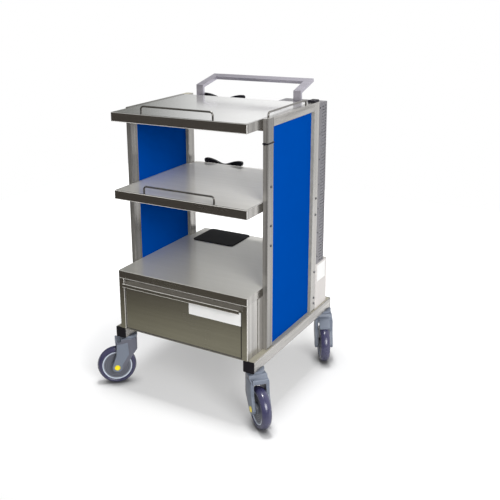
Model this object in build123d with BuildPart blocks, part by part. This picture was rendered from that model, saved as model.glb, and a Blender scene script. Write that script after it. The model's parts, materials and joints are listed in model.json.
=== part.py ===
"""Equipment trolley: three trays and a drawer in a steel frame on four swivel casters.

Millimetres. +Z up, the front faces -Y, the right side is +X. The origin is on the floor, at the
middle of the trolley's footprint.
"""
import os
from math import cos, radians, sin

from build123d import *

os.makedirs("parts", exist_ok=True)

# ---- driving dimensions -------------------------------------------------------------------------
FRONT_Y = -257.1  # front edge of the trays
FLOOR_TO_RAIL = 169.0  # casters' total height

RAIL = 35.0  # square base rail
RAIL_WALL = 2.5
RAIL_LENGTH = 544.0
RAIL_IN = 211.0
RAIL_OUT = RAIL_IN + RAIL
PLUG_FLANGE = 3.0
PLUG_DEPTH = 14.0
PLUG_CLEARANCE = 0.2

POST_OUT = 240.0  # outer faces of the posts
FRONT_POST = 15.0  # post width across X
REAR_POST = 25.0
POST_DEPTH = 35.0
FRONT_POST_Y = FRONT_Y + 90.0
REAR_POST_Y = FRONT_Y + 395.0
POST_WALL = 2.0
CAP_HEIGHT = 7.0
REAR_POST_BACK = REAR_POST_Y + POST_DEPTH
BASE_TOP = FLOOR_TO_RAIL + RAIL
TOP_Z = 886.0

SIDE_RAIL_HEIGHT = 25.0
PANEL_OUT = 229.5
PANEL_THICK = 3.0

TRAY_HALF = POST_OUT - FRONT_POST  # trays fit between the front posts
TRAY_SHEET = 2.0
TRAY_SKIRT = 26.5
REAR_TRAY_HALF = POST_OUT - REAR_POST - 0.5
MID_Z = 651.0
MID_BACK_Y = FRONT_Y + 439.0
CABINET_Z = 396.0
CABINET_SKIRT = 24.0
CABINET_BACK_Y = FRONT_Y + 487.0
COLUMN_CLEAR_X = 98.0  # trays end before the column from here outwards
COLUMN_CLEAR_Y = REAR_POST_BACK - 1.0

CABINET_WALL = 1.5
STILE_WIDTH = 18.0
STILE_DEPTH = 20.0
CORNER_STRIP = (FRONT_Y + 61.0, FRONT_Y + 89.0)  # cover strip along each side, beside the front post
CORNER_STRIP_THICK = 1.5
CABINET_BODY_BACK = REAR_POST_Y - 1.0

DRAWER_HALF = TRAY_HALF - STILE_WIDTH - 2.5
DRAWER_BOTTOM = BASE_TOP + 3.0
DRAWER_TOP = CABINET_Z - CABINET_SKIRT - 3.0
DRAWER_SHEET = 1.5
DRAWER_FACE_Y = FRONT_Y + 4.0  # set back behind the stiles
LIP_REACH = 17.0
LIP_UPPER_Z = 359.0
LIP_LOWER_Z = 349.0
BOX_HALF = 192.0
BOX_BACK = FRONT_Y + 378.0
BOX_BOTTOM = BASE_TOP + 10.0
BOX_TOP = BASE_TOP + 134.0
BOX_SHEET = 1.2
LABEL_X = (28.0, 203.0)
LABEL_Z = (306.0, 347.0)
LABEL_THICK = 0.8

RUNNER_Z = 280.0  # centre height of the drawer's slides
RUNNER_HALF = TRAY_HALF - STILE_WIDTH
RUNNER_FRONT = FRONT_Y + 22.0
RUNNER_LENGTH = 352.0
RUNNER_SHEET = 1.5
RUNNER_GAP = 1.0  # between the slide members
MIDDLE_HALF = RUNNER_HALF - RUNNER_SHEET - RUNNER_GAP
OUTER_HEIGHT = 44.0
MIDDLE_HEIGHT = 38.0
INNER_HEIGHT = 24.0

WIRE = 5.5
WIRE_BEND = 9.0
FRONT_GUARD_HALF = 119.0
FRONT_GUARD_Y = FRONT_Y + 5.0
FRONT_GUARD_HEIGHT = 26.0
SIDE_GUARD_X = 232.0
SIDE_GUARD_Y = (FRONT_Y + 108.0, FRONT_Y + 348.0)
SIDE_GUARD_HEIGHT = 18.0

HANDLE_WIDTH = 25.0  # flat rectangular tube
HANDLE_THICK = 10.0
HANDLE_WALL = 1.5
TIE_DEPTH = 25.0
HANDLE_HALF = 175.0
HANDLE_TOP_HALF = 170.0
HANDLE_Y = FRONT_Y + 412.0
HANDLE_BACK_Y = FRONT_Y + 502.0
HANDLE_BEND_Z = 914.0
HANDLE_TOP_Z = 935.0
HANDLE_TIE_Z = (785.0, 820.0)
CROSS_Y = (FRONT_Y + 120.0, FRONT_Y + 440.0)

COLUMN_X = (100.0, POST_OUT)
COLUMN_SHEET = 1.5
FLANGE_BACK_Y = FRONT_Y + 443.0
COLUMN_TOP = 880.0
SERVICE_TOP = 358.0
SERVICE_BACK_Y = FRONT_Y + 516.0
SLOT_LENGTH = 34.0
SLOT_HEIGHT = 4.5
SLOT_PITCH = 10.0
SLOT_Z = (366.0, 870.0)
MAINS_INLET = (170.0, 268.0)  # centre across and up
INLET_HALF = (14.0, 11.5)
SOCKETS = 6
SOCKET_X = 170.0
SOCKET_Z = 620.0  # middle of the column of sockets
SOCKET_PITCH = 52.0
SOCKET_RADIUS = 20.0
SOCKET_DEPTH = 15.0
STRIP_WIDTH = 56.0
STRIP_HEIGHT = 330.0
STRIP_DEPTH = 24.0  # with the socket modules
MODULE_SIZE = 50.0

CLEAT_RISE = 15.0  # horns above the middle
CLEAT_DEPTH = 17.0
CLEAT_GAP = 8.0
CLEAT_THICK = 10.0
CLEAT_NECK_HALF = 17.0

SWIVEL_X = 228.5
FRONT_SWIVEL_Y = FRONT_Y + 39.0
REAR_SWIVEL_Y = FRONT_Y + 522.0
WHEEL_RADIUS = 62.5
TRAIL = 42.0
TYRE_HALF = 15.0
HUB_RADIUS = 48.0
HUB_HALF = 12.0
HUB_BOSS = (16.0, 17.0)  # radius, half width
CAP_RADIUS = 9.5
CAP_THICK = 1.8
AXLE_RADIUS = 5.0
RUNNING_FIT = 0.05
FORK_HALF = 28.0
CROWN_RADIUS = 28.0
CROWN_BACK = 25.0
CROWN_TOP = 159.0
LEG_END_RADIUS = 16.0
WHEEL_SLOT_RADIUS = 73.0
WHEEL_SLOT_HALF = 19.0
VISOR = ((36.0, 45.0), (137.0, 151.0))  # along the trail, height
VISOR_HALF = 23.0
HOUSING_RADIUS = 27.0
HOUSING_BOTTOM = 160.0
STEM_RADIUS = 6.0
STEM_LENGTH = 8.0
PEDAL_PIVOT = (38.0, 144.0)  # along the trail, height
PEDAL_POCKET = ((32.0, 70.0), (130.0, 155.0))
PEDAL_HALF = 17.0
PEDAL_GAP = 0.6
PEDAL_PIN = 2.0
PEDAL_PIN_HALF = 22.5

# name, swivel side, swivel y, trailing direction from -Y towards +X, has a brake pedal
CASTERS = (
    ("front_left", -1, FRONT_SWIVEL_Y, -49.0, False),
    ("front_right", 1, FRONT_SWIVEL_Y, 49.0, False),
    ("rear_left", -1, REAR_SWIVEL_Y, -20.0, True),
    ("rear_right", 1, REAR_SWIVEL_Y, 31.0, True),
)


# ---- helpers ------------------------------------------------------------------------------------
def block(xs, ys, zs, mode=Mode.ADD):
    """Box between two corners, in the part that is open."""
    centre = ((xs[0] + xs[1]) / 2, (ys[0] + ys[1]) / 2, (zs[0] + zs[1]) / 2)
    with Locations(centre):
        Box(abs(xs[1] - xs[0]), abs(ys[1] - ys[0]), abs(zs[1] - zs[0]), mode=mode)


def save(builder, label):
    """Label the finished piece and write it as a STEP file."""
    builder.part.label = label
    export_step(builder.part, f"parts/{label}.step")


def sides():
    """Left and right, as a name and a sign."""
    return (("left", -1), ("right", 1))


# ---- base ---------------------------------------------------------------------------------------
def base_rail(name, side):
    """Square tube along the side, open at both ends for its plugs."""
    centre_x = side * (RAIL_IN + RAIL / 2)
    centre_z = FLOOR_TO_RAIL + RAIL / 2
    front = Plane(origin=(centre_x, FRONT_Y + PLUG_FLANGE, centre_z), x_dir=(1, 0, 0), z_dir=(0, 1, 0))
    with BuildPart() as rail:
        with BuildSketch(front):
            RectangleRounded(RAIL, RAIL, 3.0)
            RectangleRounded(RAIL - 2 * RAIL_WALL, RAIL - 2 * RAIL_WALL, 1.5, mode=Mode.SUBTRACT)
        extrude(amount=RAIL_LENGTH - 2 * PLUG_FLANGE)
    save(rail, f"base_rail_{name}")


def rail_end_plugs():
    """Plastic plug in each end of both rails: a flush cap and a ribbed body inside the tube."""
    inner = RAIL - 2 * RAIL_WALL - 2 * PLUG_CLEARANCE
    with BuildPart() as plugs:
        for _, side in sides():
            for end, inward in ((FRONT_Y, 1), (FRONT_Y + RAIL_LENGTH, -1)):
                centre = (side * (RAIL_IN + RAIL / 2), end, FLOOR_TO_RAIL + RAIL / 2)
                face = Plane(origin=centre, x_dir=(1, 0, 0), z_dir=(0, inward, 0))
                with BuildSketch(face):
                    RectangleRounded(RAIL, RAIL, 3.0)
                extrude(amount=PLUG_FLANGE)
                with BuildSketch(face.offset(PLUG_FLANGE)):
                    RectangleRounded(inner, inner, 1.5)
                    RectangleRounded(inner - 5.0, inner - 5.0, 1.0, mode=Mode.SUBTRACT)
                extrude(amount=PLUG_DEPTH)
    save(plugs, "rail_end_plugs")


def cross_tubes():
    """Tubes that tie the two rails, and the one between the rear posts that carries the handle."""
    with BuildPart() as tubes:
        for start in CROSS_Y:
            centre = (-RAIL_IN, start + RAIL / 2, FLOOR_TO_RAIL + RAIL / 2)
            with BuildSketch(Plane(origin=centre, x_dir=(0, 1, 0), z_dir=(1, 0, 0))):
                Rectangle(RAIL, RAIL)
                Rectangle(RAIL - 2 * RAIL_WALL, RAIL - 2 * RAIL_WALL, mode=Mode.SUBTRACT)
            extrude(amount=2 * RAIL_IN)
        tie_half = POST_OUT - REAR_POST
        tie_height = HANDLE_TIE_Z[1] - HANDLE_TIE_Z[0]
        centre = (-tie_half, HANDLE_Y, HANDLE_TIE_Z[0] + tie_height / 2)
        with BuildSketch(Plane(origin=centre, x_dir=(0, 1, 0), z_dir=(1, 0, 0))):
            Rectangle(TIE_DEPTH, tie_height)
            Rectangle(TIE_DEPTH - 2 * POST_WALL, tie_height - 2 * POST_WALL, mode=Mode.SUBTRACT)
        extrude(amount=2 * tie_half)
    save(tubes, "cross_tubes")


def caster_housings():
    """Fixed top plate of each caster, bored for the fork's stem."""
    with BuildPart() as housings:
        for _, side, y, _, _ in CASTERS:
            with BuildSketch(Plane.XY.offset(HOUSING_BOTTOM)):
                with Locations((side * SWIVEL_X, y)):
                    Circle(HOUSING_RADIUS)
                    Circle(STEM_RADIUS + RUNNING_FIT, mode=Mode.SUBTRACT)
            extrude(amount=FLOOR_TO_RAIL - HOUSING_BOTTOM)
    save(housings, "caster_housings")


# ---- frame --------------------------------------------------------------------------------------
def post(name, side, width, front):
    """Rectangular tube from the rail to the top, closed by a welded plate."""
    inner_x = side * (POST_OUT - width)
    outer_x = side * POST_OUT
    low, high = sorted((inner_x, outer_x))
    with BuildPart() as tube:
        block((low, high), (front, front + POST_DEPTH), (BASE_TOP, TOP_Z))
        hollow_x = (low + POST_WALL, high - POST_WALL)
        hollow_y = (front + POST_WALL, front + POST_DEPTH - POST_WALL)
        block(hollow_x, hollow_y, (BASE_TOP, TOP_Z - POST_WALL), mode=Mode.SUBTRACT)
        upright = tube.edges().filter_by(Axis.Z).filter_by(GeomType.LINE)
        outer_edges = upright.group_by(Axis.X)[0] + upright.group_by(Axis.X)[-1]
        fillet(outer_edges, radius=1.2)
    save(tube, name)


def top_side_rails():
    """Tube between the front and rear post at the top of each side."""
    span = REAR_POST_Y - FRONT_POST_Y - POST_DEPTH
    with BuildPart() as rails:
        for _, side in sides():
            centre_x = side * (POST_OUT - FRONT_POST / 2)
            centre = (centre_x, FRONT_POST_Y + POST_DEPTH, TOP_Z - SIDE_RAIL_HEIGHT / 2)
            with BuildSketch(Plane(origin=centre, x_dir=(1, 0, 0), z_dir=(0, 1, 0))):
                Rectangle(FRONT_POST, SIDE_RAIL_HEIGHT)
                Rectangle(FRONT_POST - 2 * POST_WALL, SIDE_RAIL_HEIGHT - 2 * POST_WALL, mode=Mode.SUBTRACT)
            extrude(amount=span)
    save(rails, "top_side_rails")


def post_cap():
    """Low domed plastic cap over the cable outlet at the top of the right rear post."""
    with BuildPart() as cap:
        with BuildSketch(Plane.XY.offset(TOP_Z)):
            with Locations((POST_OUT - REAR_POST / 2, REAR_POST_Y + POST_DEPTH / 2)):
                RectangleRounded(REAR_POST, POST_DEPTH, 4.0)
        extrude(amount=CAP_HEIGHT)
        fillet(cap.faces().sort_by(Axis.Z)[-1].edges(), radius=3.5)
    save(cap, "post_cap")


def side_panel(name, side):
    """Coloured sheet that fills the frame between the posts."""
    low, high = sorted((side * PANEL_OUT, side * (PANEL_OUT - PANEL_THICK)))
    with BuildPart() as panel:
        ys = (FRONT_POST_Y + POST_DEPTH, REAR_POST_Y)
        block((low, high), ys, (BASE_TOP, TOP_Z - SIDE_RAIL_HEIGHT))
    save(panel, f"side_panel_{name}")


# ---- trays --------------------------------------------------------------------------------------
def tray_outline(back_y):
    """Plan of a tray: full width between the front posts, narrower between the rear posts."""
    with BuildSketch(Plane.XY, mode=Mode.PRIVATE) as plan:
        with BuildLine():
            Polyline(
                (-TRAY_HALF, FRONT_Y),
                (TRAY_HALF, FRONT_Y),
                (TRAY_HALF, REAR_POST_Y),
                (REAR_TRAY_HALF, REAR_POST_Y),
                (REAR_TRAY_HALF, COLUMN_CLEAR_Y),
                (COLUMN_CLEAR_X, COLUMN_CLEAR_Y),
                (COLUMN_CLEAR_X, back_y),
                (-REAR_TRAY_HALF, back_y),
                (-REAR_TRAY_HALF, REAR_POST_Y),
                (-TRAY_HALF, REAR_POST_Y),
                close=True,
            )
        make_face()
    return plan.sketch


def tray(name, plan, top, skirt, guarded):
    """Folded sheet tray, open below, with a rounded front edge and holes for the guard's feet."""
    with BuildPart() as piece:
        with BuildSketch(Plane.XY.offset(top - skirt)):
            add(plan)
        extrude(amount=skirt)
        with BuildSketch(Plane.XY.offset(top - skirt)):
            add(plan)
            offset(amount=-TRAY_SHEET, kind=Kind.INTERSECTION, mode=Mode.REPLACE)
        extrude(amount=skirt - TRAY_SHEET, mode=Mode.SUBTRACT)
        rim = piece.faces().sort_by(Axis.Z)[-1].edges().filter_by(Axis.X).sort_by(Axis.Y)[0]
        fillet(rim, radius=1.8)
        if guarded:
            with BuildSketch(Plane.XY.offset(top)):
                with Locations((-FRONT_GUARD_HALF, FRONT_GUARD_Y), (FRONT_GUARD_HALF, FRONT_GUARD_Y)):
                    Circle(WIRE / 2)
            extrude(amount=-TRAY_SHEET, mode=Mode.SUBTRACT)
    save(piece, name)


def trays():
    """Top shelf, middle shelf and cabinet top."""
    with BuildSketch(Plane.XY) as top_plan:
        with Locations((0, (FRONT_Y + REAR_POST_Y) / 2)):
            Rectangle(2 * TRAY_HALF, REAR_POST_Y - FRONT_Y)
    tray("top_shelf", top_plan.sketch, TOP_Z, TRAY_SKIRT, True)
    tray("mid_shelf", tray_outline(MID_BACK_Y), MID_Z, TRAY_SKIRT, True)
    tray("cabinet_top", tray_outline(CABINET_BACK_Y), CABINET_Z, CABINET_SKIRT, False)


def guard_rail(label, start, across, span, height):
    """Bent wire guard: a foot, a bar and a foot."""
    direction = Vector(*across).normalized()
    first = Vector(*start)
    last = first + direction * span
    rise = Vector(0, 0, height - WIRE / 2)
    with BuildPart() as guard:
        with BuildLine() as path:
            FilletPolyline(first, first + rise, last + rise, last, radius=WIRE_BEND)
        with BuildSketch(Plane(origin=first, x_dir=direction, z_dir=(0, 0, 1))):
            Circle(WIRE / 2)
        sweep(path=path.line)
    save(guard, label)


def guard_rails():
    """Wire guards on the front of both shelves and along the top of the right side."""
    for label, z in (("shelf_rail_top_front", TOP_Z), ("shelf_rail_mid_front", MID_Z)):
        start = (-FRONT_GUARD_HALF, FRONT_GUARD_Y, z - TRAY_SHEET)
        guard_rail(label, start, (1, 0, 0), 2 * FRONT_GUARD_HALF, FRONT_GUARD_HEIGHT + TRAY_SHEET)
    start = (SIDE_GUARD_X, SIDE_GUARD_Y[0], TOP_Z)
    span = SIDE_GUARD_Y[1] - SIDE_GUARD_Y[0]
    guard_rail("shelf_rail_top_right", start, (0, 1, 0), span, SIDE_GUARD_HEIGHT)


def rubber_mat():
    """Thin mat lying on the rear of the cabinet top."""
    with BuildPart() as mat:
        with BuildSketch(Plane.XY.offset(CABINET_Z)):
            with Locations((-106.0, FRONT_Y + 421.0)):
                RectangleRounded(156.0, 130.0, 12.0)
        extrude(amount=3.0)
        fillet(mat.faces().sort_by(Axis.Z)[-1].edges(), radius=1.0)
    save(mat, "rubber_mat")


def cable_cleat(label, centre_x, mount_y, mount_z, middle_z, half):
    """Double-horned cleat that a cable is wound on, standing off a rear face on its neck."""
    top = middle_z + CLEAT_RISE
    low = top - CLEAT_DEPTH
    back = Plane(origin=(centre_x, mount_y + CLEAT_GAP, 0), x_dir=(1, 0, 0), z_dir=(0, -1, 0))
    with BuildPart() as cleat:
        neck = (centre_x - CLEAT_NECK_HALF, centre_x + CLEAT_NECK_HALF)
        block(neck, (mount_y, mount_y + CLEAT_GAP), mount_z)
        with BuildSketch(back):
            with BuildLine():
                Spline((-half + 8.0, top), (0, middle_z), (half - 8.0, top), tangents=((1, 0), (1, 0)))
                Spline((half - 8.0, top), (half, top - 9.0), (half - 9.0, low), tangents=((1, 0), (-1, -0.2)))
                Spline((half - 9.0, low), (0, mount_z[0]), (9.0 - half, low), tangents=((-1, -0.2), (-1, 0.2)))
                Spline((9.0 - half, low), (-half, top - 9.0), (8.0 - half, top), tangents=((-1, 0.2), (1, 0)))
            make_face()
        extrude(amount=-CLEAT_THICK)
    save(cleat, label)


# ---- cabinet and drawer -------------------------------------------------------------------------
def cabinet_body():
    """Sheet box under the cabinet top, open in front between its stiles, with a strip up each side."""
    top = CABINET_Z - CABINET_SKIRT
    opening = TRAY_HALF - STILE_WIDTH
    with BuildPart() as body:
        block((-TRAY_HALF, TRAY_HALF), (FRONT_Y, CABINET_BODY_BACK), (BASE_TOP, top))
        inner = TRAY_HALF - CABINET_WALL
        depth = (FRONT_Y + CABINET_WALL, CABINET_BODY_BACK - CABINET_WALL)
        block((-inner, inner), depth, (BASE_TOP + CABINET_WALL, top), mode=Mode.SUBTRACT)
        heights = (BASE_TOP + CABINET_WALL, top)
        block((-opening, opening), (FRONT_Y, FRONT_Y + CABINET_WALL), heights, mode=Mode.SUBTRACT)
        for _, side in sides():
            stile = (side * opening, side * (opening + CABINET_WALL))
            block(stile, (FRONT_Y, FRONT_Y + STILE_DEPTH), (BASE_TOP, top))
            strip = (side * TRAY_HALF, side * (TRAY_HALF + CORNER_STRIP_THICK))
            block(strip, CORNER_STRIP, (BASE_TOP, top))
    save(body, "cabinet_body")


def channel(web_face, flange_end, ys, height, side):
    """C-section along Y: a web at web_face, and two flanges that reach to flange_end."""
    low, high = RUNNER_Z - height / 2, RUNNER_Z + height / 2
    block((side * web_face, side * flange_end), ys, (low, high))
    inward = RUNNER_SHEET if flange_end > web_face else -RUNNER_SHEET
    hollow_x = (side * (web_face + inward), side * flange_end)
    block(hollow_x, ys, (low + RUNNER_SHEET, high - RUNNER_SHEET), mode=Mode.SUBTRACT)


def drawer_runners():
    """Fixed outer channels of the slides, each with two spacers to the cabinet wall."""
    ys = (RUNNER_FRONT, RUNNER_FRONT + RUNNER_LENGTH)
    with BuildPart() as runners:
        for _, side in sides():
            channel(RUNNER_HALF, RUNNER_HALF - 9.0, ys, OUTER_HEIGHT, side)
            for start in (ys[0] + 20.0, ys[1] - 60.0):
                xs = (side * RUNNER_HALF, side * (TRAY_HALF - CABINET_WALL))
                block(xs, (start, start + 40.0), (RUNNER_Z - 15.0, RUNNER_Z + 15.0))
    save(runners, "drawer_runners")


def drawer_mid_rails():
    """Middle channels of the slides, carried between the fixed and the moving ones."""
    ys = (RUNNER_FRONT, RUNNER_FRONT + RUNNER_LENGTH)
    with BuildPart() as rails:
        for _, side in sides():
            channel(MIDDLE_HALF, MIDDLE_HALF - 8.0, ys, MIDDLE_HEIGHT, side)
    save(rails, "drawer_mid_rails")


def drawer_slides():
    """Inner channels of the slides, fastened to the drawer box."""
    ys = (RUNNER_FRONT, RUNNER_FRONT + RUNNER_LENGTH)
    with BuildPart() as slides:
        for _, side in sides():
            channel(BOX_HALF, MIDDLE_HALF - RUNNER_SHEET - RUNNER_GAP, ys, INNER_HEIGHT, side)
    save(slides, "drawer_slides")


def drawer_box():
    """Open sheet box behind the drawer front."""
    with BuildPart() as box:
        front = DRAWER_FACE_Y + DRAWER_SHEET
        block((-BOX_HALF, BOX_HALF), (front, BOX_BACK), (BOX_BOTTOM, BOX_TOP))
        inner = BOX_HALF - BOX_SHEET
        inner_y = (front + BOX_SHEET, BOX_BACK - BOX_SHEET)
        block((-inner, inner), inner_y, (BOX_BOTTOM + BOX_SHEET, BOX_TOP), mode=Mode.SUBTRACT)
    save(box, "drawer_box")


def drawer_front():
    """Flat sheet front with a full-width folded lip under its top edge, to pull it by."""
    section = Plane(origin=(-DRAWER_HALF, DRAWER_FACE_Y, 0), x_dir=(0, 1, 0), z_dir=(1, 0, 0))
    with BuildPart() as front:
        with BuildSketch(section):
            with BuildLine():
                Polyline(
                    (DRAWER_SHEET, DRAWER_BOTTOM),
                    (DRAWER_SHEET, DRAWER_TOP),
                    (0, DRAWER_TOP),
                    (0, LIP_UPPER_Z),
                    (-LIP_REACH, LIP_UPPER_Z),
                    (-LIP_REACH, LIP_LOWER_Z),
                    (DRAWER_SHEET - LIP_REACH, LIP_LOWER_Z),
                    (DRAWER_SHEET - LIP_REACH, LIP_UPPER_Z - DRAWER_SHEET),
                    (0, LIP_UPPER_Z - DRAWER_SHEET),
                    (0, DRAWER_BOTTOM),
                    close=True,
                )
            make_face()
        extrude(amount=2 * DRAWER_HALF)
    save(front, "drawer_front")


def label_plate():
    """Blank plate on the drawer front."""
    with BuildPart() as plate:
        block(LABEL_X, (DRAWER_FACE_Y - LABEL_THICK, DRAWER_FACE_Y), LABEL_Z)
    save(plate, "label_plate")


# ---- handle, column and electrical pieces -------------------------------------------------------
def push_handle():
    """Flat tube handle: two uprights that bend back to a crossbar, with mitred corners."""
    points = (
        (-HANDLE_HALF, HANDLE_Y, HANDLE_TIE_Z[1]),
        (-HANDLE_HALF, HANDLE_Y, HANDLE_BEND_Z),
        (-HANDLE_TOP_HALF, HANDLE_BACK_Y, HANDLE_TOP_Z),
        (HANDLE_TOP_HALF, HANDLE_BACK_Y, HANDLE_TOP_Z),
        (HANDLE_HALF, HANDLE_Y, HANDLE_BEND_Z),
        (HANDLE_HALF, HANDLE_Y, HANDLE_TIE_Z[1]),
    )
    with BuildPart() as handle:
        with BuildLine() as path:
            Polyline(*points)
        with BuildSketch(Plane(origin=points[0], x_dir=(1, 0, 0), z_dir=(0, 0, 1))):
            Rectangle(HANDLE_WIDTH, HANDLE_THICK)
            Rectangle(HANDLE_WIDTH - 2 * HANDLE_WALL, HANDLE_THICK - 2 * HANDLE_WALL, mode=Mode.SUBTRACT)
        sweep(path=path.line, transition=Transition.RIGHT)
    save(handle, "push_handle")


def column_shell():
    """Folded shell of the service column: flange, inner wall, back, top and bottom."""
    left, right = COLUMN_X
    inner_right = right - COLUMN_SHEET
    with BuildPart() as shell:
        heights = (SERVICE_TOP, COLUMN_TOP)
        block((left, inner_right), (REAR_POST_BACK, CABINET_BACK_Y), heights)
        block((inner_right, right), (REAR_POST_BACK, FLANGE_BACK_Y), heights)
        hollow_y = (REAR_POST_BACK + COLUMN_SHEET, CABINET_BACK_Y - COLUMN_SHEET)
        hollow_z = (SERVICE_TOP, COLUMN_TOP - COLUMN_SHEET)
        block((left + COLUMN_SHEET, inner_right), hollow_y, hollow_z, mode=Mode.SUBTRACT)
    save(shell, "column_shell")


def column_vent_panel():
    """Louvred side plate of the column, with a row of slots."""
    left, right = COLUMN_X[1] - COLUMN_SHEET, COLUMN_X[1]
    count = int((SLOT_Z[1] - SLOT_Z[0]) / SLOT_PITCH) + 1
    middle_y = (FLANGE_BACK_Y + CABINET_BACK_Y) / 2
    middle_z = (SLOT_Z[0] + SLOT_Z[1]) / 2
    side_face = Plane(origin=(right, middle_y, middle_z), x_dir=(0, 1, 0), z_dir=(1, 0, 0))
    with BuildPart() as panel:
        block((left, right), (FLANGE_BACK_Y, CABINET_BACK_Y), (SERVICE_TOP, COLUMN_TOP))
        with BuildSketch(side_face):
            with GridLocations(1, SLOT_PITCH, 1, count):
                Rectangle(SLOT_LENGTH, SLOT_HEIGHT)
        extrude(amount=-COLUMN_SHEET, mode=Mode.SUBTRACT)
    save(panel, "column_vent_panel")


def service_box():
    """Deeper box at the foot of the column, with a hole in its back for the mains inlet."""
    left, right = COLUMN_X
    inlet_x, inlet_z = MAINS_INLET
    with BuildPart() as box:
        block((left, right), (REAR_POST_BACK, SERVICE_BACK_Y), (BASE_TOP, SERVICE_TOP))
        hollow_y = (REAR_POST_BACK + COLUMN_SHEET, SERVICE_BACK_Y - COLUMN_SHEET)
        hollow_x = (left + COLUMN_SHEET, right - COLUMN_SHEET)
        hollow_z = (BASE_TOP + COLUMN_SHEET, SERVICE_TOP - COLUMN_SHEET)
        block(hollow_x, hollow_y, hollow_z, mode=Mode.SUBTRACT)
        block((inlet_x - INLET_HALF[0], inlet_x + INLET_HALF[0]),
              (SERVICE_BACK_Y - COLUMN_SHEET, SERVICE_BACK_Y),
              (inlet_z - INLET_HALF[1], inlet_z + INLET_HALF[1]), mode=Mode.SUBTRACT)
    save(box, "service_box")


def mains_inlet():
    """Panel inlet with its flange outside and its body inside the service box."""
    x, z = MAINS_INLET
    rear = Plane(origin=(x, SERVICE_BACK_Y, z), x_dir=(-1, 0, 0), z_dir=(0, 1, 0))
    with BuildPart() as inlet:
        with BuildSketch(rear):
            RectangleRounded(50.0, 28.0, 3.0)
        extrude(amount=3.0)
        with BuildSketch(rear):
            Rectangle(2 * INLET_HALF[0] - 0.4, 2 * INLET_HALF[1] - 0.4)
        extrude(amount=-20.0)
        with BuildSketch(rear.offset(3.0)):
            Rectangle(24.0, 19.0)
        extrude(amount=-16.0, mode=Mode.SUBTRACT)
        with BuildSketch(rear.offset(-13.0)):
            with GridLocations(7.0, 1, 3, 1):
                Rectangle(2.0, 4.0)
        extrude(amount=10.0)
    save(inlet, "mains_inlet")


def socket_strip():
    """Strip on the back of the column, and the socket modules on it, each with a round well."""
    face = Plane(origin=(SOCKET_X, CABINET_BACK_Y, SOCKET_Z), x_dir=(-1, 0, 0), z_dir=(0, 1, 0))
    base_depth = STRIP_DEPTH - SOCKET_DEPTH
    with BuildPart() as strip:
        with BuildSketch(face):
            RectangleRounded(STRIP_WIDTH, STRIP_HEIGHT, 4.0)
        extrude(amount=base_depth)
    save(strip, "socket_strip")

    with BuildPart() as modules:
        with BuildSketch(face.offset(base_depth)):
            with GridLocations(1, SOCKET_PITCH, 1, SOCKETS):
                RectangleRounded(MODULE_SIZE, MODULE_SIZE, 3.0)
                Circle(SOCKET_RADIUS, mode=Mode.SUBTRACT)
        extrude(amount=SOCKET_DEPTH)
    save(modules, "socket_modules")


def transformer():
    """Isolating transformer in its case, standing on the rear cross tube."""
    with BuildPart() as case:
        with BuildSketch(Plane.XY.offset(BASE_TOP)):
            with Locations((-40.0, FRONT_Y + 450.0)):
                RectangleRounded(190.0, 66.0, 6.0)
        extrude(amount=110.0)
        fillet(case.faces().sort_by(Axis.Z)[-1].edges(), radius=3.0)
    save(case, "transformer")


def frame_screws():
    """Domed screw heads in the posts' outer faces."""
    places = [(FRONT_POST_Y + 22.0, z) for z in (693.0, 579.0, 520.0)]
    places += [(REAR_POST_Y + 23.0, z) for z in (583.0, 530.0, 337.0, 248.0, 229.0)]
    with BuildPart() as screws:
        for _, side in sides():
            for y, z in places:
                face = Plane(origin=(side * POST_OUT, y, z), z_dir=(side, 0, 0))
                with BuildSketch(face):
                    Circle(4.0)
                extrude(amount=2.0, taper=20)
    save(screws, "frame_screws")


# ---- casters ------------------------------------------------------------------------------------
def caster_planes(side, y, yaw):
    """Side-view plane (trail, height) and the plan plane of a caster at its swivel axis."""
    turn = radians(yaw)
    trail = Vector(sin(turn), -cos(turn), 0)
    across = Vector(0, 0, 1).cross(trail)
    pivot = Vector(side * SWIVEL_X, y, 0)
    profile = Plane(origin=pivot, x_dir=trail, z_dir=-across)
    plan = Plane(origin=pivot, x_dir=trail, z_dir=(0, 0, 1))
    return profile, plan


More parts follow.
